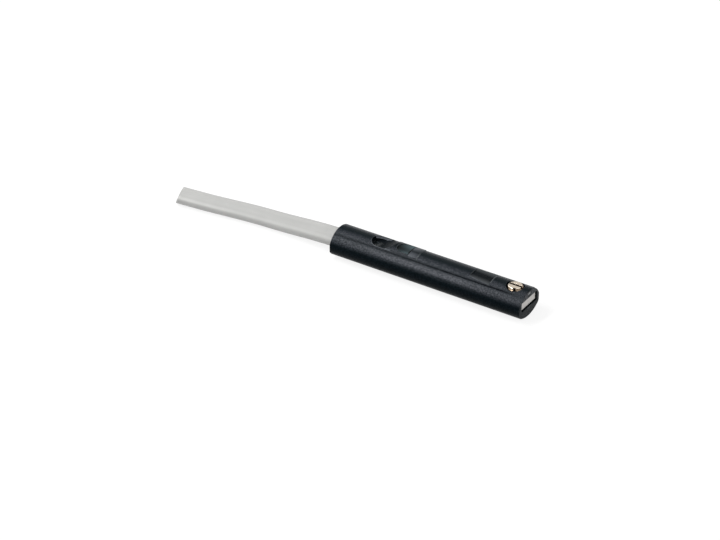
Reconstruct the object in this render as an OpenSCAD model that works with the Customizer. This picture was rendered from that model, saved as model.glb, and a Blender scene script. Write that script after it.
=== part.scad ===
// Cylinder position sensor for a T-slot: a moulded bar with its electronics potted inside,
// a captive nut and slotted clamp screw at the front end, and a cable at the rear.
// X runs along the bar to the clamp end, Z up from the belly to the crown, in millimetres.

/* [Housing] */
// Length of the housing
body_len = 34; // [33:0.5:42]
// Width across the flanks
body_w = 6.2; // [6:0.1:6.8]
// Height from the belly to the crown
body_h = 4.58; // [4.54:0.02:4.8]
// Radius of the round crown
crown_r = 3.36; // [3.3:0.02:4]
// Height of the widest line above the belly
widest_h = 2.05; // [1.95:0.05:2.2]
// Radius of the lower corners of the section
bilge_r = 1.72; // [1.5:0.02:1.8]
// Radius of the flanks
flank_r = 2.52; // [2.4:0.02:2.7]
// Width of the raised land along the crown
land_w = 3.36; // [3.2:0.02:3.5]
// Height of the land above the shoulders beside it
land_step = 0.08; // [0.04:0.01:0.12]
// Rounding of the rear end
rear_round = 0.3; // [0.2:0.05:0.6]
// Rounding of the clamp end
front_round = 0.2; // [0.15:0.05:0.4]

/* [Bores] */
// Radius of the bore that holds the electronics
bore_r = 1.45; // [1.42:0.01:1.5]
// Height of the axis of that bore
bore_h = 2.38; // [2.34:0.01:2.4]
// Wall between that bore and the nut pocket
pocket_wall = 1.3; // [0.8:0.1:2]
// Length of cable that sits in the rear bore
cable_seat = 5.3; // [4:0.1:6.5]
// Gap round the cable in the rear bore
cable_gap = 0.05; // [0.03:0.01:0.1]
// Gap between the resin and all that it holds
resin_gap = 0.02; // [0.01:0.01:0.04]

/* [Fill port] */
// Radius of the round end of the fill port
port_r = 1.5; // [1.2:0.05:1.6]
// Place of the port's round end, from the rear
port_x = 7.7; // [7.4:0.1:8.2]
// Depth of the port at its round end
port_depth = 0.9; // [0.75:0.05:1]
// Length of the ramp that leads out of the port
port_ramp = 2.5; // [1:0.1:3]

/* [Light window] */
// Distance of the window's square end from the rear
window_x = 13.3; // [13.1:0.05:14.5]
// Length of the window
window_len = 2.5; // [2.4:0.05:2.7]
// Width of the window
window_w = 2.5; // [2:0.1:2.6]
// Thickness of the window plate
window_t = 0.4; // [0.3:0.02:0.45]
// Depth of the window's flat top below the crown
window_sink = 0.13; // [0.08:0.01:0.16]
// Gap round the window
window_gap = 0.04; // [0.02:0.01:0.08]
// Shadow gap at the square end of the window
window_end_gap = 0.14; // [0.08:0.01:0.2]
// Length of the light guide under the window
guide_len = 1.2; // [0.8:0.1:1.4]
// Width of the light guide
guide_w = 1; // [0.6:0.1:1.2]
// Height of the raised frame round the window
frame_step = 0.1; // [0.05:0.01:0.15]
// Length of the frame beyond the window's square end
frame_tail = 1.65; // [0.8:0.05:2.5]
// Length of the frame behind the window's round end
frame_lead = 0.5; // [0.3:0.05:0.55]
// Width of the frame
frame_w = 3; // [2.8:0.1:3.2]

/* [Marking field] */
// Length of the flat marking field
field_len = 3.6; // [2:0.1:4.2]
// Width that the field is cut to
field_w = 3.1; // [2.6:0.1:3.3]
// Depth of the field below the crown at its rear end
field_rise = 0.19; // [0.1:0.01:0.24]
// Depth of the field below the crown at its front end
field_depth = 0.38; // [0.26:0.02:0.44]
// Distance of the field's front end from the clamp end
field_x = 6.15; // [5.9:0.05:7]

/* [Clamp screw] */
// Radius over the thread of the screw
screw_r = 1.2; // [1.1:0.01:1.3]
// Length of the screw
screw_len = 4; // [3.6:0.1:4.2]
// Depth of the screw's top below the crown
screw_sink = 0.06; // [0:0.01:0.3]
// Distance of the screw's axis from the clamp end
screw_x = 2.45; // [2.2:0.05:2.6]
// Width of the screwdriver slot
slot_w = 0.42; // [0.3:0.02:0.5]
// Depth of the screwdriver slot
slot_depth = 0.7; // [0.5:0.05:0.9]
// Bevel of the screw's two ends
screw_bevel = 0.12; // [0.08:0.01:0.2]
// Radial clearance of the screw in the nut
thread_gap = 0.03; // [0.02:0.01:0.06]
// Radial clearance of the screw in the housing
screw_hole_gap = 0.26; // [0.15:0.01:0.3]

/* [Clamp nut] */
// Length of the nut along the bar
nut_len = 4.6; // [4.2:0.1:4.8]
// Width of the nut across the bar
nut_w = 4.2; // [4:0.02:4.4]
// Thickness of the nut
nut_t = 1.25; // [1.1:0.05:1.3]
// Gap above the nut in its pocket
nut_roof_gap = 0.05; // [0.03:0.01:0.1]
// Gap under the nut
nut_floor_gap = 0.3; // [0.2:0.02:0.34]
// Gap at each side of the nut
nut_side_gap = 0.19; // [0.1:0.01:0.2]
// Bevel of the nut's corners and bore
nut_bevel = 0.12; // [0.05:0.01:0.2]
// Thickness of the housing above the pocket, at the crown
roof_t = 1.28; // [1.2:0.02:1.36]

/* [Gate mark] */
// Width of the moulding gate's mark above the pocket
gate_w = 0.8; // [0.4:0.05:1]
// Height of the gate's mark
gate_h = 0.4; // [0.2:0.05:0.5]
// Depth of the gate's mark
gate_depth = 0.06; // [0.03:0.01:0.1]

/* [Circuit board] */
// Width of the board
board_w = 2.6; // [2.3:0.05:2.65]
// Thickness of the board
board_t = 0.4; // [0.3:0.02:0.42]
// Height of the board's upper face
board_h = 2.35; // [2.31:0.01:2.38]
// Distance of the board's rear edge from the rear of the housing
board_x = 6.4; // [6.2:0.1:6.8]
// Gap at the front edge of the board
board_end_gap = 0.25; // [0.1:0.05:0.5]

/* [Cable] */
// Radius of the cable
cable_r = 1.55; // [1.4:0.05:1.55]
// Height of the cable's axis where it enters the housing
cable_h = 2.27; // [2.24:0.01:2.34]
// Radius of a core's insulation
core_r = 0.42; // [0.36:0.01:0.42]
// Radius of a core's copper strands
strand_r = 0.18; // [0.14:0.01:0.2]
// Spacing of the cores on the board
core_pitch = 0.86; // [0.85:0.01:0.88]
// Length of core between the jacket and the stripped end
core_len = 1.8; // [1.4:0.1:2]
// Length of bare strands
strand_len = 1; // [0.8:0.05:1.1]
// Clearance of the strands in their insulation and solder
strand_gap = 0.02; // [0.01:0.005:0.03]
// Radius of a solder joint on the board
solder_r = 0.4; // [0.36:0.01:0.42]
// Height of a solder joint
solder_h = 0.75; // [0.66:0.01:0.8]

/* [Hidden] */
$fn = 48;

// Past this a cut runs clear of the face that it opens
over = 1;
// A shape that only rounds the ends stands off the section by this
skim = 0.02;

x_rear = -body_len / 2;
x_front = body_len / 2;
bilge_y = body_w / 2 - bilge_r;
flank_y = body_w / 2 - flank_r;
belly_r = (bilge_y * bilge_y + widest_h * widest_h - bilge_r * bilge_r) / (2 * (widest_h - bilge_r));

crown_cz = body_h - crown_r;

screw_cx = x_front - screw_x;
screw_top = body_h - screw_sink;
screw_low = screw_top - screw_len;
nut_top = body_h - roof_t - nut_roof_gap;
nut_low = nut_top - nut_t;
nut_x0 = screw_cx - nut_len / 2;
pocket_x0 = nut_x0 - nut_side_gap;
bore_x1 = pocket_x0 - pocket_wall;
seat_x = x_rear + cable_seat;
core_end = seat_x + core_len;
strand_end = core_end + strand_len;
core_h = board_h + core_r;
board_x0 = x_rear + board_x;
board_x1 = bore_x1 - board_end_gap;
port_cx = x_rear + port_x;
port_floor = body_h - port_depth;
window_x1 = x_rear + window_x;
window_top = body_h - window_sink;
window_low = window_top - window_t;
guide_cx = window_x1 - window_len / 2;
field_x1 = x_front - field_x;
gate_z = body_h - roof_t / 2;

// Small parts on the board, by their distance from the window's light guide
led_size = [1, 0.5, 0.45];
chip_size = [2.9, 1.3, 0.95];
sensor_size = [2, 1.6, 0.75];
diode_size = [1.7, 1.1, 0.62];
case_0402 = [1, 0.5, 0.4];
case_0603 = [1.6, 0.8, 0.6];
filter_at = -2.2;
led_resistor_at = 1.7;
regulator_at = 4.4;
transistor_at = 8.1;
sensor_end_gap = 2.2;
polarity_at = -1.6;
surge_at = 1.2;
supply_at = 3.8;
bias_at = [5.9, 7.5, 9.1];
cap_len = 0.22;
cap_proud = 0.03;
lead_w = 0.3;
lead_t = 0.12;
lead_out = 0.25;

// Route of the cable's middle line: distance in front of the rear face, then across and up
cable_route = [
    [cable_seat, 0, cable_h], [3.5, 0, cable_h], [1.7, 0, cable_h], [0, 0, cable_h],
    [-1.7, 0, 2.25], [-3.6, 0, 2.16], [-5.7, 0, 2.03], [-7.8, 0, 1.87], [-10, 0, 1.7],
    [-12.2, -0.02, 1.58], [-14.2, -0.12, 1.55], [-16.2, -0.3, 1.55], [-18.3, -0.56, 1.55],
    [-20.6, -0.88, 1.55], [-22.9, -1.2, 1.55], [-25.2, -1.48, 1.55], [-27.5, -1.71, 1.55],
    [-29.95, -1.94, 1.55]];
// Lean of the cut at the cable's end: how far along it goes for each step across and up
cut_lean = [-0.44, 0.49];
cable_sides = 8;

// A profile across the bar, drawn in Y and Z, run from x0 to x1
module along_x(x0, x1)
    translate([x0, 0, 0]) rotate([90, 0, 90]) linear_extrude(x1 - x0) children();

// A side profile, drawn in X and Z, run across the bar
module along_y(width)
    translate([0, width / 2, 0]) rotate([90, 0, 0]) linear_extrude(width) children();

module x_rod(r, x0, x1, y, z)
    translate([x0, y, z]) rotate([0, 90, 0]) cylinder(r = r, h = x1 - x0);

// A box centred in Y, from x0 to x1 and z0 to z1
module block(x0, x1, width, z0, z1)
    translate([x0, -width / 2, z0]) cube([x1 - x0, width, z1 - z0]);

// Part of the round crown, of a given width, that stands rise above the land
module crown(width, rise)
    intersection() {
        translate([0, crown_cz]) circle(r = crown_r + rise, $fn = 96);
        translate([-width / 2, widest_h]) square([width, body_h]);
    }

// Section of the bar: a round belly, lower corners, flanks, shoulders and the land on the crown
module section() {
    intersection() {
        translate([-body_w, -over]) square([2 * body_w, widest_h + over]);
        union() {
            for (s = [-1, 1]) translate([s * bilge_y, widest_h]) circle(r = bilge_r);
            intersection() {
                translate([0, belly_r]) circle(r = belly_r, $fn = 96);
                polygon([[0, belly_r], [-3 * bilge_y, belly_r - 3 * (belly_r - widest_h)],
                    [3 * bilge_y, belly_r - 3 * (belly_r - widest_h)]]);
            }
        }
    }
    intersection() {
        crown(2 * body_w, -land_step);
        union() {
            for (s = [-1, 1]) translate([s * flank_y, widest_h]) circle(r = flank_r, $fn = 96);
            translate([-flank_y, 0]) square([2 * flank_y, body_h]);
        }
    }
    crown(land_w, 0);
}

// Outline along the bar with its end corners rounded, from low to high across it
module rounded_ends(low, high) {
    for (end = [[x_rear, 1, rear_round], [x_front, -1, front_round]])
        for (side = [[low, 1], [high, -1]])
            translate([end[0] + end[1] * end[2], side[0] + side[1] * end[2]]) circle(r = end[2]);
    translate([x_rear + rear_round, low]) square([body_len - rear_round - front_round, high - low]);
    translate([x_rear, low + rear_round]) square([body_len / 2, high - low - 2 * rear_round]);
    translate([0, low + front_round]) square([body_len / 2, high - low - 2 * front_round]);
}

// Round bar of radius r about a line at height z, with its ends rounded
module spun_bar(r, z)
    translate([0, 0, z]) rotate([0, 90, 0]) rotate_extrude($fn = 96) intersection() {
        mirror([1, -1]) rounded_ends(-r, r);
        translate([0, x_rear]) square([r, body_len]);
    }

module bar()
    intersection() {
        along_x(x_rear, x_front) section();
        spun_bar(crown_r + skim, crown_cz);
        spun_bar(belly_r + skim, belly_r);
        translate([0, 0, -over]) linear_extrude(body_h + 2 * over)
            rounded_ends(-body_w / 2 - skim, body_w / 2 + skim);
    }

// Raised band of the land that the window is set in
module window_frame()
    along_x(window_x1 - window_len - frame_lead, window_x1 + frame_tail) crown(frame_w, frame_step);

// Plate outline with a round rear end and a square front end
module window_outline(gap, end_gap) {
    r = window_w / 2;
    translate([window_x1 - window_len + r, 0]) circle(r = r + gap);
    translate([window_x1 - window_len + r, -r - gap])
        square([window_len - r + end_gap, 2 * (r + gap)]);
}

// Room for the window plate and its light guide
module window_cut(gap, end_gap) {
    translate([0, 0, window_low]) linear_extrude(over) window_outline(gap, end_gap);
    block(guide_cx - guide_len / 2 - gap, guide_cx + guide_len / 2 + gap,
        guide_w + 2 * gap, board_h, window_top);
}

module port_cut() {
    x0 = port_cx - port_r;
    x1 = port_cx + port_ramp;
    intersection() {
        union() {
            translate([port_cx, 0, port_floor - over]) cylinder(r = port_r, h = port_depth + 2 * over);
            block(port_cx, x1 + over, 2 * port_r, port_floor - over, body_h + over);
        }
        along_y(4 * port_r)
            polygon([[x0 - over, port_floor], [port_cx, port_floor], [x1, body_h],
                [x1, body_h + over], [x0 - over, body_h + over]]);
    }
}

// The field's floor is flat across the bar, so its long edges lie where it meets the crown
module field_cut()
    along_y(field_w)
        polygon([[field_x1 - field_len, body_h - field_rise], [field_x1, body_h - field_depth],
            [field_x1, body_h + over], [field_x1 - field_len, body_h + over]]);

module screw_at(r, z0, z1)
    translate([screw_cx, 0, z0]) cylinder(r = r, h = z1 - z0);

module housing() {
    color([0.10, 0.11, 0.13]) difference() {
        union() {
            bar();
            window_frame();
        }
        x_rod(cable_r + cable_gap, x_rear - over, seat_x, 0, cable_h);
        x_rod(bore_r, seat_x - over, bore_x1, 0, bore_h);
        port_cut();
        window_cut(window_gap, window_end_gap);
        field_cut();
        block(pocket_x0, x_front + over, nut_w + 2 * nut_side_gap,
            nut_low - nut_floor_gap, nut_top + nut_roof_gap);
        block(x_front - gate_depth, x_front + over, gate_w, gate_z - gate_h / 2, gate_z + gate_h / 2);
        screw_at(screw_r + screw_hole_gap, -over, body_h + over);
    }
}

module light_window() {
    color([0.30, 0.42, 0.42]) {
        translate([0, 0, window_low]) linear_extrude(window_t) window_outline(0, 0);
        block(guide_cx - guide_len / 2, guide_cx + guide_len / 2, guide_w,
            board_h + led_size[2] + resin_gap, window_low);
    }
}

module clamp_nut() {
    color([0.68, 0.66, 0.64]) difference() {
        translate([nut_x0, 0, nut_low]) linear_extrude(nut_t)
            polygon([[nut_bevel, -nut_w / 2], [nut_len - nut_bevel, -nut_w / 2],
                [nut_len, nut_bevel - nut_w / 2], [nut_len, nut_w / 2 - nut_bevel],
                [nut_len - nut_bevel, nut_w / 2], [nut_bevel, nut_w / 2],
                [0, nut_w / 2 - nut_bevel], [0, nut_bevel - nut_w / 2]]);
        screw_at(screw_r + thread_gap, nut_low - over, nut_top + over);
        translate([screw_cx, 0, nut_top - nut_bevel])
            cylinder(r1 = screw_r + thread_gap, r2 = screw_r + thread_gap + 2 * nut_bevel, h = 2 * nut_bevel);
    }
}

module clamp_screw() {
    r_end = screw_r - screw_bevel;
    color([0.80, 0.66, 0.42]) difference() {
        union() {
            screw_at(screw_r, screw_low + screw_bevel, screw_top - screw_bevel);
            translate([screw_cx, 0, screw_low]) cylinder(r1 = r_end, r2 = screw_r, h = screw_bevel);
            translate([screw_cx, 0, screw_top - screw_bevel])
                cylinder(r1 = screw_r, r2 = r_end, h = screw_bevel);
        }
        translate([screw_cx - 2 * screw_r, -slot_w / 2, screw_top - slot_depth])
            cube([4 * screw_r, slot_w, slot_depth + over]);
    }
}

module board_shape(gap)
    block(board_x0 - gap, board_x1 + gap, board_w + 2 * gap, board_h - board_t - gap, board_h + gap);

module circuit_board()
    color([0.10, 0.36, 0.22]) board_shape(0);

// A chip resistor or capacitor standing on the board, or hanging under it, with its end caps
module chip_part(at, size, side, gap) {
    x = guide_cx + at;
    z = side > 0 ? board_h : board_h - board_t - size[2];
    inset = cap_proud - gap;
    block(x - size[0] / 2 - gap, x + size[0] / 2 + gap, size[1] - 2 * inset,
        z - (side > 0 ? 0 : gap) + (side > 0 ? 0 : cap_proud),
        z + size[2] + (side > 0 ? gap : 0) - (side > 0 ? cap_proud : 0));
    for (s = [-1, 1])
        block(x + s * (size[0] - cap_len) / 2 - cap_len / 2 - gap,
            x + s * (size[0] - cap_len) / 2 + cap_len / 2 + gap, size[1] + 2 * gap,
            z - (side > 0 ? 0 : gap), z + size[2] + (side > 0 ? gap : 0));
}

// A moulded package with leads at both sides, standing on the board or hanging under it
module leaded_part(x, size, leads, side, gap) {
    z = side > 0 ? board_h : board_h - board_t - size[2];
    block(x - size[0] / 2 - gap, x + size[0] / 2 + gap, size[1] + 2 * gap,
        z - (side > 0 ? 0 : gap), z + size[2] + (side > 0 ? gap : 0));
    for (dx = leads)
        block(x + dx - lead_w / 2 - gap, x + dx + lead_w / 2 + gap,
            size[1] + 2 * lead_out + 2 * gap, side > 0 ? z : z + size[2] - lead_t - gap,
            side > 0 ? z + lead_t + gap : z + size[2]);
}

// A diode with a lead at each end
module diode_part(at, gap) {
    x = guide_cx + at;
    z = board_h - board_t - diode_size[2];
    block(x - diode_size[0] / 2 - gap, x + diode_size[0] / 2 + gap, diode_size[1] + 2 * gap,
        z - gap, board_h - board_t);
    block(x - diode_size[0] / 2 - lead_out - gap, x + diode_size[0] / 2 + lead_out + gap,
        lead_w + 2 * gap, board_h - board_t - lead_t - gap, board_h - board_t);
}

module led_shape(gap) chip_part(0, led_size, 1, gap);
module led_resistor_shape(gap) chip_part(led_resistor_at, case_0402, 1, gap);
module filter_shape(gap) chip_part(filter_at, case_0402, 1, gap);
module supply_shape(gap) chip_part(supply_at, case_0603, -1, gap);
module bias_shape(gap) for (at = bias_at) chip_part(at, case_0402, -1, gap);
module regulator_shape(gap) leaded_part(guide_cx + regulator_at, chip_size, [-0.95, 0, 0.95], 1, gap);
module transistor_shape(gap) leaded_part(guide_cx + transistor_at, chip_size, [-0.95, 0.95], 1, gap);
module sensor_shape(gap)
    leaded_part(board_x1 - sensor_end_gap, sensor_size, [-0.65, 0, 0.65], 1, gap);

module indicator_led() color([0.95, 0.88, 0.55]) led_shape(0);
module led_resistor() color([0.15, 0.15, 0.16]) led_resistor_shape(0);
module filter_capacitor() color([0.62, 0.48, 0.33]) filter_shape(0);
module supply_capacitor() color([0.62, 0.48, 0.33]) supply_shape(0);
module bias_resistors() color([0.15, 0.15, 0.16]) bias_shape(0);
module regulator_chip() color([0.12, 0.12, 0.13]) regulator_shape(0);
module output_transistor() color([0.12, 0.12, 0.13]) transistor_shape(0);
module sensor_chip() color([0.12, 0.12, 0.13]) sensor_shape(0);
module polarity_diode() color([0.12, 0.12, 0.13]) diode_part(polarity_at, 0);
module surge_diode() color([0.12, 0.12, 0.13]) diode_part(surge_at, 0);

// Insulation of one core, from the jacket to its stripped end
module core_tube(y) difference() {
    x_rod(core_r, seat_x, core_end, y, core_h);
    x_rod(strand_r + strand_gap, seat_x - over, core_end + over, y, core_h);
}

// Strands of one core, which leave the insulation and end in their solder joint
module strands(y, gap)
    x_rod(strand_r + gap, seat_x, strand_end, y, core_h);

module solder_joint(y, gap)
    translate([strand_end - solder_r, y, board_h])
        cylinder(r1 = solder_r + gap, r2 = strand_r + gap, h = solder_h + gap);

module core_brown() color([0.35, 0.20, 0.10]) core_tube(core_pitch);
module core_black() color([0.06, 0.06, 0.07]) core_tube(0);
module core_blue() color([0.10, 0.22, 0.55]) core_tube(-core_pitch);
module strands_brown() color([0.72, 0.45, 0.25]) strands(core_pitch, 0);
module strands_black() color([0.72, 0.45, 0.25]) strands(0, 0);
module strands_blue() color([0.72, 0.45, 0.25]) strands(-core_pitch, 0);

module solder_joints()
    color([0.75, 0.76, 0.78]) for (y = [-core_pitch, 0, core_pitch]) difference() {
        solder_joint(y, 0);
        strands(y, strand_gap);
    }

// Resin that fills the bore round all that lies in it, and shows in the fill port
module potting_resin() {
    color([0.13, 0.13, 0.14]) difference() {
        x_rod(bore_r - resin_gap, seat_x, bore_x1 - resin_gap, 0, bore_h);
        port_cut();
        window_cut(resin_gap, resin_gap);
        board_shape(resin_gap);
        led_shape(resin_gap);
        led_resistor_shape(resin_gap);
        filter_shape(resin_gap);
        supply_shape(resin_gap);
        bias_shape(resin_gap);
        regulator_shape(resin_gap);
        transistor_shape(resin_gap);
        sensor_shape(resin_gap);
        diode_part(polarity_at, resin_gap);
        diode_part(surge_at, resin_gap);
        for (y = [-core_pitch, 0, core_pitch]) {
            x_rod(core_r + resin_gap, seat_x - over, core_end + resin_gap, y, core_h);
            strands(y, resin_gap);
            solder_joint(y, resin_gap);
        }
    }
}

// Point i of the cable's route in the row's own frame
function route_point(i) = [x_rear + cable_route[i][0], cable_route[i][1], cable_route[i][2]];
// Direction of the route at point i, from the points beside it
function route_dir(i) = let (last = len(cable_route) - 1,
    d = route_point(min(i + 1, last)) - route_point(max(i - 1, 0))) d / norm(d);
// Offset k of the ring round point i: sideways is level, and up is square to the run
function spoke(i, k) = let (d = route_dir(i), side = cross([0, 0, 1], d) / norm(cross([0, 0, 1], d)),
    a = 360 * k / cable_sides) cable_r * (cos(a) * cross(d, side) + sin(a) * side);
// Ring of points round point i; the last one leans, where the cable is cut off
function ring(i) = [for (k = [0 : cable_sides - 1]) let (v = spoke(i, k)) route_point(i)
    + (i < len(cable_route) - 1 ? v : [cut_lean[0] * v[1] + cut_lean[1] * v[2], v[1], v[2]])];

module cable_jacket() {
    rings = len(cable_route);
    n = cable_sides;
    color([0.74, 0.74, 0.73]) polyhedron(
        points = [for (i = [0 : rings - 1]) for (p = ring(i)) p],
        faces = concat(
            [[for (k = [0 : n - 1]) k]],
            [for (i = [0 : rings - 2]) for (k = [0 : n - 1])
                [i * n + k, (i + 1) * n + k, (i + 1) * n + (k + 1) % n, i * n + (k + 1) % n]],
            [[for (k = [n - 1 : -1 : 0]) (rings - 1) * n + k]]));
}

housing();
light_window();
clamp_nut();
clamp_screw();
circuit_board();
sensor_chip();
regulator_chip();
output_transistor();
indicator_led();
led_resistor();
filter_capacitor();
supply_capacitor();
polarity_diode();
surge_diode();
bias_resistors();
core_brown();
core_black();
core_blue();
strands_brown();
strands_black();
strands_blue();
solder_joints();
potting_resin();
cable_jacket();
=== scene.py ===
import math

import bpy
from mathutils import Matrix, Vector


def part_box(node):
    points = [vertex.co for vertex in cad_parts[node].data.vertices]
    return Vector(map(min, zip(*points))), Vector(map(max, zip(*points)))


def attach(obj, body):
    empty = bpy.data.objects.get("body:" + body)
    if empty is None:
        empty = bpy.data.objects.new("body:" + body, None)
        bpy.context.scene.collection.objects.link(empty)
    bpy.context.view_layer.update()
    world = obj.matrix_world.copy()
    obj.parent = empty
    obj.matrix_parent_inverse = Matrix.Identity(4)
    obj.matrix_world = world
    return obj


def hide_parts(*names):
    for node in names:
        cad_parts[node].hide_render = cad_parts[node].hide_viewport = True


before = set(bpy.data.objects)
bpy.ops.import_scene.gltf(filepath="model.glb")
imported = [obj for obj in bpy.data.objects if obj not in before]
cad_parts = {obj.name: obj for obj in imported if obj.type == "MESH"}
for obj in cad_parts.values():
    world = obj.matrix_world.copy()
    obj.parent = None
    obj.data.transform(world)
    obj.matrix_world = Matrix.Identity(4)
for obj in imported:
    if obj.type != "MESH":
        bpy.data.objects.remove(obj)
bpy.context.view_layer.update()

# Camera: it looks down on the near side of the bar from beyond the clamp end, through a long lens.
# Its place and turn were fitted to the outlines of the bar and to the marks along its crown.
CAMERA_AZIMUTH = math.radians(33.312)
CAMERA_ELEVATION = math.radians(31.962)
CAMERA_DISTANCE = 0.33769
CAMERA_SLIDE_RIGHT = 0.011066
CAMERA_SLIDE_UP = -0.001908
camera_right = Vector((math.cos(CAMERA_AZIMUTH), math.sin(CAMERA_AZIMUTH), 0))
camera_back = Vector((math.sin(CAMERA_AZIMUTH) * math.cos(CAMERA_ELEVATION),
                      -math.cos(CAMERA_AZIMUTH) * math.cos(CAMERA_ELEVATION),
                      math.sin(CAMERA_ELEVATION)))
camera_up = camera_back.cross(camera_right)


def add_object(name, data):
    """A new object at the origin for data that is already in place."""
    made = bpy.data.objects.new(name, data)
    bpy.context.scene.collection.objects.link(made)
    return made


camera = add_object("camera", bpy.data.cameras.new("camera"))
camera.data.lens = 110
camera.data.sensor_width = 36
camera.data.clip_start = 0.01
camera.matrix_world = Matrix.Translation(
    camera_back * CAMERA_DISTANCE - camera_right * CAMERA_SLIDE_RIGHT - camera_up * CAMERA_SLIDE_UP
) @ Matrix((camera_right, camera_up, camera_back)).transposed().to_4x4()
bpy.context.scene.camera = camera

# Cable jacket: a round tube of light grey plastic, extruded over three twisted cores.
# It is potted in the rear bore, sags to the floor and ends in a plain cut, well off square.
SENSOR = "sensor_body"
REAR_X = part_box("housing")[0].x
# The jacket is fullest where it is gripped in the bore, and drawn a little thinner to the cut
RADIUS_AT_SEAT = 0.001585
RADIUS_AT_CUT = 0.00144
# Shares of the cable's length: where it begins to thin, and over how much of it
THINNING_START = 0.17
THINNING_SHARE = 0.6
JACKET_BORE = 0.00096
JACKET_OPEN = 0.0022
JACKET_EDGE = 0.00004
# Small rings close its two ends, the hidden one and the bottom of its open bore
SEAT_RING = 0.0005
BOTTOM_RING = 0.0003
BORE_STEPS = 4
CABLE_SIDES = 56
CABLE_STEP = 0.0005
# Each millimetre across and up moves the cut this far along the cable, towards its free end
CUT_LEAN = (0, 0.22, -0.42)
CUT_FADE = 0.004
ROUTE_SAMPLES = 400
CORE_LAY = 0.011
# The depth of the finest relief in any skin
FINE_RELIEF = 0.00001
JACKET_TONES = (0.56, 0.56, 0.545), (0.63, 0.63, 0.615)
# Edges that turn more than this stay crisp, on all the turned pieces
CRISP_DEGREES = 40
# The route's points in metres: forward of the housing's rear face, across and up
CABLE_ROUTE = [
    (0.0053, 0, 0.00227), (0.0035, 0, 0.00227), (0.0017, 0, 0.00227), (0, 0, 0.00227),
    (-0.0017, 0, 0.00225), (-0.0036, 0, 0.00216), (-0.0057, 0, 0.00203), (-0.0078, 0, 0.00187),
    (-0.01, 0, 0.0017), (-0.0122, -0.00002, 0.00158), (-0.0142, -0.00012, 0.00155),
    (-0.0162, -0.0003, 0.00155), (-0.0183, -0.00056, 0.00155), (-0.0206, -0.00088, 0.00155),
    (-0.0229, -0.0012, 0.00155), (-0.0252, -0.00148, 0.00155), (-0.0275, -0.00171, 0.00155),
    (-0.02995, -0.00194, 0.00155)]
# The route's points in place, from the housing's rear face; the fourth lies in that face
cable_points = [Vector((REAR_X + x, y, z)) for x, y, z in CABLE_ROUTE]
cable_length = sum((b - a).length for a, b in zip(cable_points, cable_points[1:]))


def add_node(tree, kind, inputs=(), **settings):
    """A new node: settings are its options, and inputs give its sockets values or links."""
    made = tree.nodes.new(kind)
    for name, value in settings.items():
        setattr(made, name, value)
    for key, value in dict(inputs).items():
        if isinstance(value, bpy.types.NodeSocket):
            tree.links.new(value, made.inputs[key])
        else:
            made.inputs[key].default_value = value
    return made


def calc(tree, operation, *values):
    """The result of a math node; more than two values are taken one after the other."""
    while len(values) > 2:
        values = calc(tree, operation, *values[:2]), *values[2:]
    return add_node(tree, "ShaderNodeMath", dict(enumerate(values)), operation=operation).outputs[0]


def plus(tree, *values):
    """The sum of values or sockets."""
    return calc(tree, "ADD", *values)


def minus(tree, value, other):
    """One value or socket less another."""
    return calc(tree, "SUBTRACT", value, other)


def times(tree, *values):
    """The product of values or sockets, and so the overlap of masks."""
    return calc(tree, "MULTIPLY", *values)


def away(tree, value, middle=0.0):
    """How far a value lies from a middle, to either side."""
    return calc(tree, "ABSOLUTE", minus(tree, value, middle))


def ramp(tree, value, start, end, low=0.0, high=1.0, **settings):
    """A value mapped from start and end to low and high, and held there beyond them."""
    return add_node(tree, "ShaderNodeMapRange", {
        "Value": value, "From Min": start, "From Max": end, "To Min": low, "To Max": high},
        **settings).outputs["Result"]


def axes(tree, vector):
    """The three parts of a vector."""
    return add_node(tree, "ShaderNodeSeparateXYZ", {0: vector}).outputs


def joined(tree, x=0.0, y=0.0, z=0.0):
    """A vector of three parts."""
    return add_node(tree, "ShaderNodeCombineXYZ", {0: x, 1: y, 2: z}).outputs[0]


def vector_calc(tree, operation, *values):
    """The result of a vector math node on values or sockets."""
    made = add_node(tree, "ShaderNodeVectorMath", dict(enumerate(values)), operation=operation)
    return made.outputs["Value" if operation == "DOT_PRODUCT" else "Vector"]


def scaled_vector(tree, vector, factor):
    """A vector times a number or a socket."""
    return add_node(tree, "ShaderNodeVectorMath", {0: vector, "Scale": factor},
                    operation="SCALE").outputs["Vector"]


def add_sockets(tree, kind, *names, in_out="INPUT"):
    """Named sockets of one kind on a node group."""
    for name in names:
        tree.interface.new_socket(name, in_out=in_out, socket_type="NodeSocket" + kind)


def finish_geometry(tree, geometry, material):
    """Ends a geometry node group: its instances made real, and its material set."""
    real = add_node(tree, "GeometryNodeRealizeInstances", {"Geometry": geometry}).outputs[0]
    done = add_node(tree, "GeometryNodeSetMaterial", {"Geometry": real, "Material": material})
    add_node(tree, "NodeGroupOutput", {"Geometry": done.outputs[0]})


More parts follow.
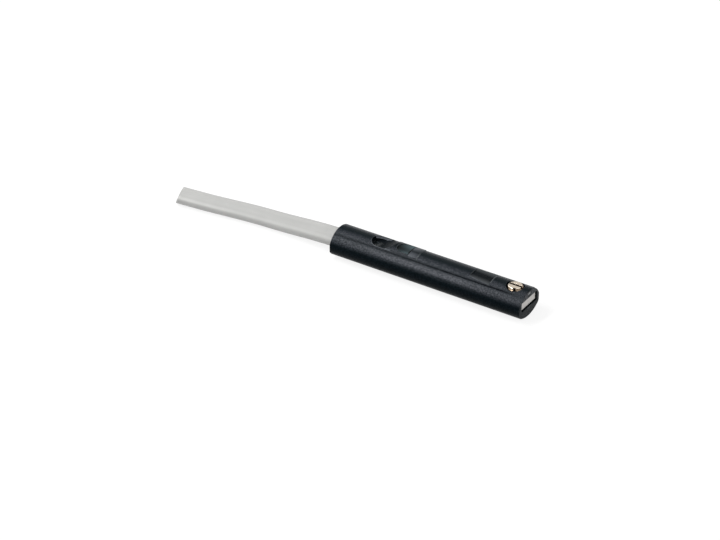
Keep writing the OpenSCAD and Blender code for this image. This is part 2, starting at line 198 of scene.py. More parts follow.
def route_tree():
    """Bends a straight tube along the cable's route, with its free end leaning to the cut."""
    tree = bpy.data.node_groups.new("laid along the cable's route", "GeometryNodeTree")
    add_sockets(tree, "Geometry", "Geometry")
    add_sockets(tree, "Object", "Route")
    add_sockets(tree, "Float", "Length", "Cut Fade")
    add_sockets(tree, "Vector", "Cut Lean")
    add_sockets(tree, "Int", "Samples")
    add_sockets(tree, "Material", "Material")
    add_sockets(tree, "Geometry", "Geometry", in_out="OUTPUT")
    given = add_node(tree, "NodeGroupInput").outputs
    place = add_node(tree, "GeometryNodeInputPosition").outputs[0]
    run, across, high = axes(tree, place)
    fade = ramp(tree, run, minus(tree, given["Length"], given["Cut Fade"]), given["Length"])
    past = times(tree, vector_calc(tree, "DOT_PRODUCT", place, given["Cut Lean"]), fade)
    route = add_node(tree, "GeometryNodeObjectInfo", {"Object": given["Route"]}).outputs["Geometry"]
    smooth = add_node(tree, "GeometryNodeCurveSplineType", {"Curve": route},
                      spline_type="CATMULL_ROM").outputs[0]
    even = add_node(tree, "GeometryNodeResampleCurve", {
        "Curve": smooth, "Count": given["Samples"]}).outputs[0]
    share = calc(tree, "DIVIDE", run, given["Length"])
    beside = add_node(tree, "GeometryNodeSampleCurve", {"Curves": even, "Factor": share},
                      mode="FACTOR").outputs
    side = vector_calc(tree, "NORMALIZE",
                       vector_calc(tree, "CROSS_PRODUCT", beside["Tangent"], (0, 0, 1)))
    top = vector_calc(tree, "CROSS_PRODUCT", side, beside["Tangent"])
    bent = beside["Position"]
    for direction, amount in ((beside["Tangent"], past), (side, across), (top, high)):
        bent = vector_calc(tree, "ADD", bent, scaled_vector(tree, direction, amount))
    kept = given["Geometry"]
    for name, value in (("run", run), ("across", across), ("high", high)):
        kept = add_node(tree, "GeometryNodeStoreNamedAttribute", {
            "Geometry": kept, "Name": name, "Value": value}, data_type="FLOAT").outputs[0]
    laid = add_node(tree, "GeometryNodeSetPosition", {"Geometry": kept, "Position": bent})
    finish_geometry(tree, laid.outputs[0], given["Material"])
    return tree


def lathe_mesh(name, stations, sides, across=0.0, high=0.0):
    """A turned shape along X: stations are (run, radius), and the first and last close it."""
    points, faces = [], []
    for run, radius in stations:
        for k in range(sides):
            turn = 2 * math.pi * k / sides
            points.append((run, across + radius * math.cos(turn), high + radius * math.sin(turn)))
    rings = len(stations)
    for i in range(rings - 1):
        for k in range(sides):
            a, b = i * sides + k, i * sides + (k + 1) % sides
            faces.append((a, b, b + sides, a + sides))
    faces.append(tuple(range(sides - 1, -1, -1)))
    faces.append(tuple(range((rings - 1) * sides, rings * sides)))
    made = bpy.data.meshes.new(name)
    made.from_pydata(points, [], faces)
    return made


def run_tree(piece, tree, **values):
    """Runs a geometry node group on a piece, with its inputs by name, and keeps the plain mesh."""
    modifier = piece.modifiers.new(tree.name, "NODES")
    modifier.node_group = tree
    for item in tree.interface.items_tree:
        key = item.name.lower().replace(" ", "_")
        if item.in_out == "INPUT" and key in values:
            modifier[item.identifier] = values[key]
    bpy.context.view_layer.update()
    ready = piece.evaluated_get(bpy.context.evaluated_depsgraph_get())
    plain = bpy.data.meshes.new_from_object(ready)
    piece.modifiers.clear()
    piece.data = plain
    piece.data.shade_smooth()
    piece.data.set_sharp_from_angle(angle=math.radians(CRISP_DEGREES))


def empty_tree(made):
    """The node tree of a new material or world, with nothing in it."""
    made.use_nodes = True
    made.node_tree.nodes.clear()
    return made.node_tree


def new_material(name, **finish):
    """A material with one Principled shader; finish gives its inputs, with _ for a space."""
    made = bpy.data.materials.new(name)
    tree = empty_tree(made)
    shader = add_node(tree, "ShaderNodeBsdfPrincipled")
    for key, value in finish.items():
        shader.inputs[key.replace("_", " ")].default_value = value
    add_node(tree, "ShaderNodeOutputMaterial", {"Surface": shader.outputs[0]})
    return made, tree, shader


def feed(tree, shader, **sockets):
    """Links sockets to a shader's inputs, with _ for a space."""
    for key, socket in sockets.items():
        tree.links.new(socket, shader.inputs[key.replace("_", " ")])


def object_place(tree):
    """The place on the piece, in its object's coordinates."""
    return add_node(tree, "ShaderNodeTexCoord").outputs["Object"]


def noise(tree, place, scale, detail=2):
    """Soft noise about a half."""
    return add_node(tree, "ShaderNodeTexNoise", {
        "Vector": place, "Scale": scale, "Detail": detail}).outputs[0]


def blend(tree, factor, first, second):
    """A colour mixed from two, each given as red, green and blue or as a socket."""
    colours = {key: (*value, 1) if isinstance(value, tuple) else value
               for key, value in (("A", first), ("B", second))}
    return add_node(tree, "ShaderNodeMix", {"Factor": factor, **colours},
                    data_type="RGBA").outputs["Result"]


def bumped(tree, height, depth, strength=1.0, normal=None):
    """A normal tilted by a height, over a plain normal or the one that is given."""
    inputs = {"Height": height, "Strength": strength, "Distance": depth}
    if normal:
        inputs["Normal"] = normal
    return add_node(tree, "ShaderNodeBump", inputs).outputs[0]


def jacket_finish():
    """Light grey plastic with faint die lines, with painted shade over its upper side and underside
    and painted highlights on its very top and flanks.
    """
    made, tree, shader = new_material("cable_jacket_grey", Roughness=0.42, Specular_IOR_Level=0.35)
    run, across, high = (add_node(tree, "ShaderNodeAttribute", attribute_name=name).outputs["Fac"]
                         for name in ("run", "across", "high"))
    lines = noise(tree, joined(tree, times(tree, run, 0.06), across, high), 2600, 3)
    turn = calc(tree, "ARCTAN2", high, across)
    # One on top of the jacket, nought at its sides and minus one below
    upward = calc(tree, "SINE", turn)
    # Painted light by where round the cable: shade over the upper side and below, highlights on the
    # very top and along the flanks, stronger towards the cut
    dusty = ramp(tree, upward, 0.45, 0.8, 1.0, 0.78)
    wiped_top = ramp(tree, upward, 0.9, 1.0, 0.0, 0.15)
    under = ramp(tree, upward, 0.0, -0.2, 0.0, -0.05)
    clean = ramp(tree, away(tree, upward, 0.24), 0.26, 0.04)
    handled = ramp(tree, run, cable_length * 0.55, cable_length, 0.2, 0.36)
    shade = plus(tree, dusty, wiped_top, under, times(tree, clean, handled))
    tone = blend(tree, noise(tree, object_place(tree), 350), *JACKET_TONES)
    # The three cores show through as a faint twist
    twist = plus(tree, times(tree, turn, 3), times(tree, run, 2 * math.pi / CORE_LAY))
    height = plus(tree, times(tree, calc(tree, "SINE", twist), 0.25), times(tree, lines, 0.5))
    feed(tree, shader, Base_Color=scaled_vector(tree, tone, shade),
         Normal=bumped(tree, height, FINE_RELIEF, 0.25))
    return made


route_curve = bpy.data.curves.new("cable_route", "CURVE")
route_curve.dimensions = "3D"
route_spline = route_curve.splines.new("POLY")
route_spline.points.add(len(cable_points) - 1)
for spline_point, route_point in zip(route_spline.points, cable_points):
    spline_point.co = (*route_point, 1)
route_object = add_object("cable_route", route_curve)
laid_on_route = route_tree()


def lay_piece(name, mesh, material):
    """A new piece of the cable, laid along the route from its straight mesh."""
    made = add_object(name, mesh)
    run_tree(made, laid_on_route, route=route_object, length=cable_length, cut_lean=CUT_LEAN,
             cut_fade=CUT_FADE, samples=ROUTE_SAMPLES, material=material)
    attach(made, SENSOR)
    return made


jacket_steps = round(cable_length / CABLE_STEP)
jacket_stations = [(0, SEAT_RING)]
for i in range(jacket_steps):
    thinned = min(max((i / jacket_steps - THINNING_START) / THINNING_SHARE, 0), 1)
    jacket_stations.append((cable_length * i / jacket_steps,
                            RADIUS_AT_SEAT + (RADIUS_AT_CUT - RADIUS_AT_SEAT) * thinned))
jacket_stations += [(cable_length - JACKET_EDGE, RADIUS_AT_CUT),
                    (cable_length, RADIUS_AT_CUT - JACKET_EDGE)]
jacket_stations += [(cable_length - JACKET_OPEN * i / BORE_STEPS, JACKET_BORE)
                    for i in range(BORE_STEPS + 1)]
jacket_stations += [(cable_length - JACKET_OPEN, BOTTOM_RING)]
cable_jacket = lay_piece("cable_jacket_tube", lathe_mesh(
    "cable_jacket_tube", jacket_stations, CABLE_SIDES), jacket_finish())
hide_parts("cable_jacket")

# Core ends: the insulation of the brown, black and blue cores, cut off flush with the jacket.
# Each is a thin coloured tube, and the three lie against each other in the jacket's bore.
CORE_RADIUS = 0.00042
CORE_GAP = 0.00001
CORE_SPREAD = CORE_RADIUS * 2 / math.sqrt(3) + CORE_GAP
# How far they stop short of the bottom of the bore, and the ring that closes them there
CORE_CLEAR = 0.00002
CORE_RING = 0.0001
CORE_SIDES = 28
CORE_EDGE = 0.00002
STRAND_BORE = 0.0002
STRAND_BORE_DEPTH = 0.0008
STRAND_RING = 0.00005
CORE_COLOURS = {"brown": (0.12, 0.055, 0.025), "black": (0.012, 0.012, 0.013),
                "blue": (0.012, 0.075, 0.32)}


def core_finish(colour_name):
    """Glossy coloured insulation, a little cloudy in its tone."""
    made, tree, shader = new_material(f"core_{colour_name}", Roughness=0.35)
    feed(tree, shader, Base_Color=blend(
        tree, noise(tree, object_place(tree), 3000),
        *(tuple(share * part for part in CORE_COLOURS[colour_name]) for share in (0.8, 1.2))))
    return made


core_finishes = {name: core_finish(name) for name in CORE_COLOURS}
core_places = {}
for i, colour_name in enumerate(CORE_COLOURS):
    turn = math.radians(90 + 120 * i)
    place = (CORE_SPREAD * math.cos(turn), CORE_SPREAD * math.sin(turn))
    core_places[colour_name] = place
    deep = cable_length - JACKET_OPEN + CORE_CLEAR
    stations = [(deep, CORE_RING), (deep, CORE_RADIUS), (cable_length - CUT_FADE / 4, CORE_RADIUS),
                (cable_length - CORE_EDGE, CORE_RADIUS), (cable_length, CORE_RADIUS - CORE_EDGE),
                (cable_length, STRAND_BORE), (cable_length - STRAND_BORE_DEPTH, STRAND_BORE),
                (cable_length - STRAND_BORE_DEPTH, STRAND_RING)]
    core_end = lay_piece(f"core_end_{colour_name}", lathe_mesh(
        f"core_end_{colour_name}", stations, CORE_SIDES, *place), core_finishes[colour_name])

# Wire ends: the bare copper strands of the three cores at the cut, seven fine wires in each.
# They are cut off with the insulation and show as bright dots in it.
WIRE_RADIUS = 0.00006
WIRE_SIDES = 10
# Six wires lie round a seventh
WIRES_ROUND = 6
WIRE_SPREAD = 2.05 * WIRE_RADIUS
WIRE_DEPTH = 0.0007
WIRE_SET_BACK = 0.00001
COPPER_TONES = (0.68, 0.31, 0.16), (0.86, 0.48, 0.28)


def copper_finish():
    """Bright drawn copper, its tone varying a little at random."""
    made, tree, shader = new_material("copper_wire", Metallic=1.0, Roughness=0.3)
    feed(tree, shader,
         Base_Color=blend(tree, noise(tree, object_place(tree), 9000), *COPPER_TONES))
    return made


copper = copper_finish()
wire_stations = [(cable_length - depth, WIRE_RADIUS) for depth in (WIRE_DEPTH, WIRE_SET_BACK)]
wire_points, wire_faces = [], []
for place in core_places.values():
    for i in range(WIRES_ROUND + 1):
        turn = 2 * math.pi * i / WIRES_ROUND
        out = 0 if i == WIRES_ROUND else WIRE_SPREAD
        one = lathe_mesh("wire", wire_stations, WIRE_SIDES,
                         place[0] + out * math.cos(turn), place[1] + out * math.sin(turn))
        first = len(wire_points)
        wire_points += [v.co[:] for v in one.vertices]
        wire_faces += [tuple(first + v for v in face.vertices) for face in one.polygons]
        bpy.data.meshes.remove(one)
wire_mesh = bpy.data.meshes.new("wire_ends")
wire_mesh.from_pydata(wire_points, [], wire_faces)
wire_ends = lay_piece("wire_ends", wire_mesh, copper)
bpy.data.objects.remove(route_object)

# Housing: one injection moulding in black nylon with glass in it, from a spark-eroded tool.
# Its skin is an even fine grain, with wear and painted highlight on its edges, painted light over
# its upper part, a painted sheen on the shoulders that slide under the slot's lips and painted
# shade in its seam and hollows, and the front end shows the torn mark of the gate that the plastic
# came in by.
FRONT_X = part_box("housing")[1].x
CROWN_AXIS_HEIGHT = 0.00122
CROWN_RADIUS = 0.00336
# The marks of the crown lie above this height
CROWN_LOW = 0.0037
# What lies within this of a face is on it
ON_FACE = 0.00002
# A fine seam runs along each side of the crown
SEAM_BESIDE = 0.00168
SEAM_WIDTH = 0.00016
# Fill port: a round hole with a ramp that runs out forward
PORT_X = -0.0093
PORT_RADIUS = 0.0015
PORT_MARGIN = 0.00005
PORT_RAMP = 0.0025
RAMP_FOOT_X = -0.0065
RAMP_FOOT_HALF = 0.0004
# Painted highlights on its rim and its upper wall: how far out, and how deep below the crown
RIM_WIDTH = 0.0001
RIM_DEPTH = 0.00006
WALL_WIDTH = 0.00003
SCRAPE_DEPTH = 0.00026
SCRAPE_HALF = 0.00016
# Raised band in front of the window, and the window's seat
BAND_X = -0.00356
BAND_LENGTH = 0.00153
BAND_WIDTH = 0.003
BAND_EDGE = 0.0001
WINDOW_GAP = 0.00014
WINDOW_BACK = -0.00495
WINDOW_WALL = 0.00129
# Sunk field at the front of the crown, with a floor that slopes down forward
FIELD_X = 0.00725
FIELD_LENGTH = 0.0036
FIELD_WIDTH = 0.0031
FIELD_FLOOR = 0.00439
FIELD_SLOPE = 0.0528
# Its painted highlight lines: how far they reach past its sides, and how far along each of its ends
FIELD_SIDE = 0.0001
FIELD_END_HALF = 0.0012
# The nut's pocket in the front end, and the gate's mark above it
POCKET_X = 0.01205
POCKET_WIDTH = 0.0046
POCKET_HEIGHT = 0.00162
POCKET_MIDDLE = 0.0025
GATE_WIDTH = 0.0008
GATE_LOW = 0.00374
GATE_HIGH = 0.00414
GATE_DEPTH = 0.00009
# Degrees up from level, about the crown's axis: of the seam and of the painted highlight on the
# flank
SEAM_TURN = 58.5
FLANK_TURN = 44.5
GRAIN_SIZE = 0.0002
GRAIN_DEPTH = 0.00006
EDGE_ROUNDING = 0.00014
# Skin and speck are the moulding's own grain, and gate is its torn mark; the others paint light and
# shade: light over the upper part, a sheen on the shoulders, a highlight on the flank, highlights
# along the crown's edges and on the port, shade in the port, the hollows and the seam, and wear
# with painted highlight on the edges and the band's top
HOUSING_TONES = {
    "skin": (0.0003, 0.0016, 0.0025), "speck": (0.0045, 0.008, 0.011),
    "dust": (0.008, 0.014, 0.017), "shoulder": (0.05, 0.054, 0.066),
    "flank": (0.115, 0.12, 0.14), "worn": (0.12, 0.129, 0.144),
    "port": (0.0035, 0.0055, 0.007), "scrape": (0.25, 0.27, 0.3),
    "hollow": (0.0015, 0.0035, 0.005), "line": (0.19, 0.205, 0.215),
    "grime": (0.003, 0.004, 0.006), "gate": (0.3, 0.31, 0.315)}


def most(tree, *values):
    """The greatest of values or sockets, and so the union of masks."""
    return calc(tree, "MAXIMUM", *values)


def below(tree, value, limit):
    """One below a limit, or else nought."""
    return calc(tree, "LESS_THAN", value, limit)


def above(tree, value, limit):
    """One above a limit, or else nought."""
    return calc(tree, "GREATER_THAN", value, limit)


def near(tree, value, middle, reach):
    """One within reach of a middle, or else nought."""
    return below(tree, away(tree, value, middle), reach)


def within(tree, value, low, high):
    """One between two limits, or else nought."""
    return near(tree, value, (low + high) / 2, (high - low) / 2)


def soft_ramp(tree, value, start, end):
    """A ramp from nought to one that starts and ends gently."""
    return ramp(tree, value, start, end, interpolation_type="SMOOTHSTEP")


def between(tree, share, low, high):
    """A value from low to high, by a share from nought to one."""
    return ramp(tree, share, 0.0, 1.0, low, high)


def distance(tree, first, second):
    """The length of the slope over two sides."""
    squares = plus(tree, times(tree, first, first), times(tree, second, second))
    return calc(tree, "POWER", squares, 0.5)


def grain_group():
    """Fine tool grain of a moulding: a height for the bump and masks for its tone."""
    tree = bpy.data.node_groups.new("moulded_grain", "ShaderNodeTree")
    add_sockets(tree, "Float", "Size")
    add_sockets(tree, "Float", "Height", "Specks", "Cloud", in_out="OUTPUT")
    place = object_place(tree)
    scale = calc(tree, "DIVIDE", 1.0, add_node(tree, "NodeGroupInput").outputs["Size"])
    fine = add_node(tree, "ShaderNodeTexNoise", {
        "Vector": place, "Scale": scale, "Detail": 3, "Roughness": 0.6}).outputs[0]
    pits = add_node(tree, "ShaderNodeTexVoronoi", {
        "Vector": place, "Scale": times(tree, scale, 1.4)}).outputs["Distance"]
    add_node(tree, "NodeGroupOutput", {
        "Height": plus(tree, times(tree, fine, 0.7), times(tree, pits, 0.4)),
        "Specks": ramp(tree, fine, 0.42, 0.66),
        "Cloud": noise(tree, place, times(tree, scale, 0.12))})
    return tree


def edge_group():
    """Rounded edges: a normal that turns over them, and a mask of where they are."""
    tree = bpy.data.node_groups.new("rubbed_edges", "ShaderNodeTree")
    add_sockets(tree, "Float", "Radius")
    add_sockets(tree, "Vector", "Normal", in_out="OUTPUT")
    add_sockets(tree, "Float", "Edge", in_out="OUTPUT")
    rounded = add_node(tree, "ShaderNodeBevel", {
        "Radius": add_node(tree, "NodeGroupInput").outputs["Radius"]}, samples=6).outputs[0]
    plain = add_node(tree, "ShaderNodeNewGeometry").outputs["Normal"]
    turned = minus(tree, 1.0, vector_calc(tree, "DOT_PRODUCT", rounded, plain))
    add_node(tree, "NodeGroupOutput", {"Normal": rounded, "Edge": ramp(tree, turned, 0.01, 0.2)})
    return tree


moulded_grain = grain_group()
rubbed_edges = edge_group()


def use_group(tree, group, **values):
    """The outputs of a node group in a material, with its inputs by name."""
    return add_node(tree, "ShaderNodeGroup", values, node_tree=group).outputs


def layered(tree, tone, tones, **masks):
    """A tone with others laid over it in turn, each by the mask of its name."""
    for name, mask in masks.items():
        tone = blend(tree, mask, tone, tones[name])
    return tone


def port_masks(tree, x, y, beside, crown_out):
    """The fill port's inside, which takes painted shade, and the painted highlight on its rim and
    its upper wall.
    """
    past = calc(tree, "MINIMUM", minus(tree, x, PORT_X), 0.0)
    out = distance(tree, past, y)
    off = away(tree, out, PORT_RADIUS)
    along = within(tree, x, PORT_X - PORT_RADIUS, PORT_X + PORT_RAMP)
    inside = times(tree, below(tree, crown_out, CROWN_RADIUS - ON_FACE),
                   below(tree, out, PORT_RADIUS + PORT_MARGIN), along)
    rim = times(tree, below(tree, off, RIM_WIDTH),
                above(tree, crown_out, CROWN_RADIUS - RIM_DEPTH))
    wall = times(tree, below(tree, off, WALL_WIDTH), above(tree, beside, PORT_RADIUS * 0.45),
                 near(tree, crown_out, CROWN_RADIUS - SCRAPE_DEPTH, SCRAPE_HALF))
    return inside, times(tree, most(tree, times(tree, rim, 0.22), wall), along)


def band_masks(tree, x, y, beside):
    """The raised band's top with wear and painted highlight, the painted highlight on its front
    edge, the painted shade in the window's gap and the painted light on the wall of the window's
    seat.
    """
    on_band = below(tree, beside, BAND_WIDTH / 2)
    worn = times(tree, on_band, within(tree, x, BAND_X, BAND_X + BAND_LENGTH),
                 ramp(tree, x, BAND_X + 0.0003, BAND_X + BAND_LENGTH, 0.75, 0.3),
                 ramp(tree, away(tree, y, -0.00035), 0.0001, 0.0008, 0.2))
    edge = times(tree, on_band, near(tree, x, BAND_X + BAND_LENGTH, BAND_EDGE),
                 ramp(tree, beside, -0.0002, 0.0009))
    gap = times(tree, near(tree, x, BAND_X - WINDOW_GAP / 2, WINDOW_GAP * 0.6),
                ramp(tree, beside, 0.00125, 0.0006))
    behind = calc(tree, "MINIMUM", minus(tree, x, WINDOW_BACK), 0.0)
    wall = times(tree, near(tree, distance(tree, behind, y), WINDOW_WALL, ON_FACE),
                 below(tree, behind, -0.00001))
    return worn, edge, gap, wall


def field_masks(tree, x, y, z, beside):
    """The sunk field's floor, and its painted highlights: in its dish, along its sides and at its
    ends.
    """
    along = within(tree, x, FIELD_X, FIELD_X + FIELD_LENGTH)
    floor_height = minus(tree, FIELD_FLOOR, times(tree, minus(tree, x, FIELD_X), FIELD_SLOPE))
    over_floor = minus(tree, z, floor_height)
    inside = times(tree, along, below(tree, beside, FIELD_WIDTH / 2),
                   near(tree, over_floor, 0.0, 0.000005))
    side = times(tree, along, below(tree, beside, FIELD_WIDTH / 2 + FIELD_SIDE),
                 ramp(tree, away(tree, over_floor, -0.00004), 0.000034, 0.000015))
    dish = ramp(tree, away(tree, y, -0.0001), 0.0004, 0.0014)
    ends = times(tree, below(tree, beside, FIELD_END_HALF),
                 most(tree, near(tree, x, FIELD_X + FIELD_LENGTH + 0.00006, 0.00007),
                      near(tree, x, FIELD_X, 0.000003)))
    return inside, most(tree, times(tree, side, 0.25), times(tree, inside, dish, 0.4),
                        times(tree, ends, 0.32))


def housing_finish():
    """Black glass-filled nylon with its grain and the pale torn mark of the gate, with painted
    light and shade laid over it.
    """
    made, tree, shader = new_material("housing_black", Specular_IOR_Level=0.04,
                                      Specular_Tint=(0.72, 0.9, 1.0, 1), Coat_Roughness=0.32)
    grain = use_group(tree, moulded_grain, Size=GRAIN_SIZE)
    specks = grain["Specks"]
    edges = use_group(tree, rubbed_edges, Radius=EDGE_ROUNDING)
    x, y, z = axes(tree, object_place(tree))
    beside = away(tree, y)
    on_crown = above(tree, z, CROWN_LOW)
    over_axis = minus(tree, z, CROWN_AXIS_HEIGHT)
    turn = calc(tree, "DEGREES", calc(tree, "ARCTAN2", over_axis, beside))
    # Painted light over the upper part, and a painted sheen on the shoulders from the flank up to
    # the crown, dimmed by painted shade close by the seam
    dust = times(tree, ramp(tree, turn, 20, 60), 0.5)
    shoulder = times(tree, soft_ramp(tree, turn, 26, 42), soft_ramp(tree, turn, 86, 70),
                     plus(tree, times(tree, specks, 0.7), 0.3),
                     ramp(tree, away(tree, turn, SEAM_TURN), 7.5, 3, 1.0, 0.6))
    # Painted highlight along the flank, fading towards both ends of the bar
    flank = times(tree, soft_ramp(tree, away(tree, turn, FLANK_TURN), 9, 2),
                  ramp(tree, away(tree, x), 0.0125, 0.006),
                  plus(tree, times(tree, specks, 0.4), 0.2))
    # Marks of the crown: the port, the band with the window's seat, and the field
    # Painted shade in the fill port, and painted highlight on its rim and upper wall
    in_port, scraped = port_masks(tree, x, y, beside, distance(tree, y, over_axis))
    band_worn, band_edge, in_gap, window_wall = band_masks(tree, x, y, beside)
    in_field, field_lines = field_masks(tree, x, y, z, beside)
    # Painted shade at the foot of the port's ramp
    ramp_foot = times(tree, near(tree, x, RAMP_FOOT_X, RAMP_FOOT_HALF),
                      ramp(tree, beside, 0.0011, 0.0004, 0.0, 0.5))
    # Painted highlights: the field's lines, the band's front edge and the wall of the window's seat
    lines = times(tree, on_crown, most(tree, field_lines, times(tree, band_edge, 0.5),
                                       times(tree, window_wall, 0.4)))
    # Front end: painted shade in the pocket's inside, and the gate's torn mark
    in_pocket = times(tree, below(tree, beside, POCKET_WIDTH / 2),
                      near(tree, z, POCKET_MIDDLE, POCKET_HEIGHT / 2),
                      within(tree, x, POCKET_X + 0.00001, FRONT_X - 0.00001))
    # Painted shade in the hollows: the pocket, the ramp's foot, the window's gap and the field's
    # floor
    hollow = most(tree, in_pocket, times(tree, on_crown, most(tree, ramp_foot, in_gap, in_field)))
    in_gate = times(tree, above(tree, x, FRONT_X - GATE_DEPTH), below(tree, beside, GATE_WIDTH / 2),
                    within(tree, z, GATE_LOW, GATE_HIGH))
    # Seam: painted shade along it, which fades out before the front end and is fainter to the rear
    in_seam = times(tree, on_crown,
                    ramp(tree, away(tree, beside, SEAM_BESIDE + SEAM_WIDTH / 2),
                         SEAM_WIDTH * 0.7, SEAM_WIDTH * 0.4, 0.0, 0.95),
                    ramp(tree, x, FRONT_X - 0.001, FRONT_X - 0.0035),
                    ramp(tree, x, -0.012, 0.004, 0.5), between(tree, specks, 1.0, 0.7))
    tone = blend(tree, specks, HOUSING_TONES["skin"], HOUSING_TONES["speck"])
    # Painted light and shade over the grain, with wear and painted highlight on the edges and the
    # band's top
    tone = layered(tree, tone, HOUSING_TONES, dust=dust, shoulder=shoulder, flank=flank,
                   worn=most(tree, times(tree, edges["Edge"], 0.6), band_worn),
                   port=times(tree, in_port, 0.9), scrape=scraped, hollow=hollow, line=lines,
                   grime=in_seam, gate=in_gate)
    sunken = most(tree, in_seam, in_field, in_port)
    feed(tree, shader, Base_Color=tone,
         Coat_Weight=times(tree, shoulder, 0.25, minus(tree, 1.0, sunken)),
         Roughness=plus(tree, between(tree, grain["Cloud"], 0.26, 0.34),
                        times(tree, in_seam, 0.5)),
         Normal=bumped(tree, grain["Height"], GRAIN_DEPTH, 0.8, edges["Normal"]))
    return made


def finish_node(name, finish):
    """Puts a finish on a carried-over piece of the frame."""
    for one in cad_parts[name].material_slots:
        one.material = finish


finish_node("housing", housing_finish())

# Light window: a plate of smoke-green clear plastic with its light guide in one piece.
# It is pressed into the raised band on the crown, over the lamp, and its rear end is round.
WINDOW_FRONT = -0.0037
# Painted shade darkens the corner between its square end and the frame above it
WINDOW_SHADE = 0.00022
# Between these its painted reflection grows lighter forward, over the lamp
LIT_START = -0.0058
LIT_END = -0.0041
WINDOW_ROUNDING = 0.0001
# Its own dark tones are deep and deep cloud; light is a painted reflection, rim a painted highlight
# and wall painted shade
WINDOW_TONES = {"deep": (0.001, 0.003, 0.004), "deep cloud": (0.003, 0.006, 0.007),
                "light": (0.088, 0.126, 0.137), "rim": (0.075, 0.09, 0.095),
                "wall": (0.002, 0.003, 0.004)}


def window_finish():
    """Smoke-green polycarbonate, dark in its depth, with a painted reflection lighter at its front
    and sides, a painted highlight on its rim and painted shade on its side walls and by its square
    front end.
    """
    made, tree, shader = new_material("window_smoke_green", Transmission_Weight=0.1, IOR=1.5,
                                      Specular_IOR_Level=0.03)
    place = object_place(tree)
    cloud = noise(tree, place, 1500)
    x, y, _ = axes(tree, place)
    edges = use_group(tree, rubbed_edges, Radius=WINDOW_ROUNDING)
    forward = ramp(tree, x, LIT_START, LIT_END)
    sideways = ramp(tree, away(tree, y, -0.0003), 0.0002, 0.0011)
    thin = plus(tree, times(tree, forward, 0.33),
                times(tree, sideways, plus(tree, forward, 0.6), 0.4))
    upright = away(tree, axes(
        tree, add_node(tree, "ShaderNodeNewGeometry").outputs["True Normal"])[2])
    shaded_front = times(tree, above(tree, x, WINDOW_FRONT - WINDOW_SHADE),
                         ramp(tree, away(tree, y), 0.00115, 0.0006))
    tone = blend(tree, cloud, WINDOW_TONES["deep"], WINDOW_TONES["deep cloud"])
    tone = layered(tree, tone, WINDOW_TONES, light=thin, rim=times(tree, edges["Edge"], 0.7),
                   wall=most(tree, below(tree, upright, 0.5), shaded_front))
    feed(tree, shader, Base_Color=tone, Roughness=between(tree, cloud, 0.18, 0.3),
         Normal=edges["Normal"])
    return made


finish_node("light_window", window_finish())

# Circuit board: green glass-epoxy laminate, which slides into the bore with its parts soldered on.
# All of it is sealed in resin, so none of it shows outside.
TRACK_HEIGHT = 0.00002
BOARD_TONES = {"mask": (0.010, 0.085, 0.035), "mask over track": (0.030, 0.16, 0.06),
               "bare laminate": (0.35, 0.30, 0.14)}


def board_finish():
    """Green solder mask over copper tracks, with the bare yellow laminate at its edges."""
    made, tree, shader = new_material("board_green", Roughness=0.35)
    tracks = add_node(tree, "ShaderNodeTexWave", {
        "Vector": object_place(tree), "Scale": 260, "Distortion": 0.6, "Detail": 0},
        bands_direction="Y").outputs["Fac"]
    ridge = ramp(tree, tracks, 0.45, 0.6)
    mask = blend(tree, ridge, BOARD_TONES["mask"], BOARD_TONES["mask over track"])
    upright = away(tree, axes(
        tree, add_node(tree, "ShaderNodeNewGeometry").outputs["Normal"])[2])
    feed(tree, shader, Normal=bumped(tree, ridge, TRACK_HEIGHT),
         Base_Color=blend(tree, above(tree, upright, 0.5), BOARD_TONES["bare laminate"], mask))
    return made


finish_node("circuit_board", board_finish())

# Chips and diodes: black moulded packages with tinned legs, soldered to both faces of the board.
# The sensor chip stands near the front end, where the piston's magnet passes.
LEG_MARGIN = 0.000005
PACKAGE_GRAIN = 0.00009
EPOXY_TONES = (0.014, 0.014, 0.015), (0.030, 0.030, 0.031)
LEG_TIN = (0.72, 0.72, 0.73)
# The width and length of each moulded body; legs stand out beyond them
PACKAGES = {"sensor_chip": (0.0016, 1), "regulator_chip": (0.0013, 1),
            "output_transistor": (0.0013, 1), "polarity_diode": (0.0011, 0.0017),
            "surge_diode": (0.0011, 0.0017)}


def package_finish(name, body_width, body_length):
    """Black epoxy inside the given size, and tinned metal on the legs that stand out of it."""
    made, tree, shader = new_material(name)
    low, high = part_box(name)
    x, y, _ = axes(tree, vector_calc(tree, "SUBTRACT", object_place(tree), (low + high) / 2))
    leg = most(tree, above(tree, away(tree, y), body_width / 2 + LEG_MARGIN),
               above(tree, away(tree, x), body_length / 2 + LEG_MARGIN))
    grain = use_group(tree, moulded_grain, Size=PACKAGE_GRAIN)
    epoxy = blend(tree, grain["Specks"], *EPOXY_TONES)
    feed(tree, shader, Base_Color=blend(tree, leg, epoxy, LEG_TIN), Metallic=leg,
         Roughness=between(tree, leg, 0.55, 0.28),
         Normal=bumped(tree, grain["Height"], FINE_RELIEF))
    return made


for name, body_size in PACKAGES.items():
    finish_node(name, package_finish(name, *body_size))

# Chip resistors, capacitors and the lamp: small blocks with a tinned cap at each end.
# The resistors are black on top, the capacitors tan ceramic, and the lamp is clear yellow resin.
CAP_LENGTH = 0.00022
CAP_TIN = (0.74, 0.73, 0.70)
CHIP_COLOURS = {"resistor_body": (0.02, 0.02, 0.022), "capacitor_body": (0.32, 0.20, 0.10),
                "led_plastic": (0.75, 0.55, 0.12)}
# Each chip's slot, length, and spacing to the next one of its node
CHIPS = {"led_resistor": ("resistor_body", 0.001, 1.0),
         "bias_resistors": ("resistor_body", 0.001, 0.0016),
         "filter_capacitor": ("capacitor_body", 0.001, 1.0),
         "supply_capacitor": ("capacitor_body", 0.0016, 1.0),
         "indicator_led": ("led_plastic", 0.001, 1.0)}


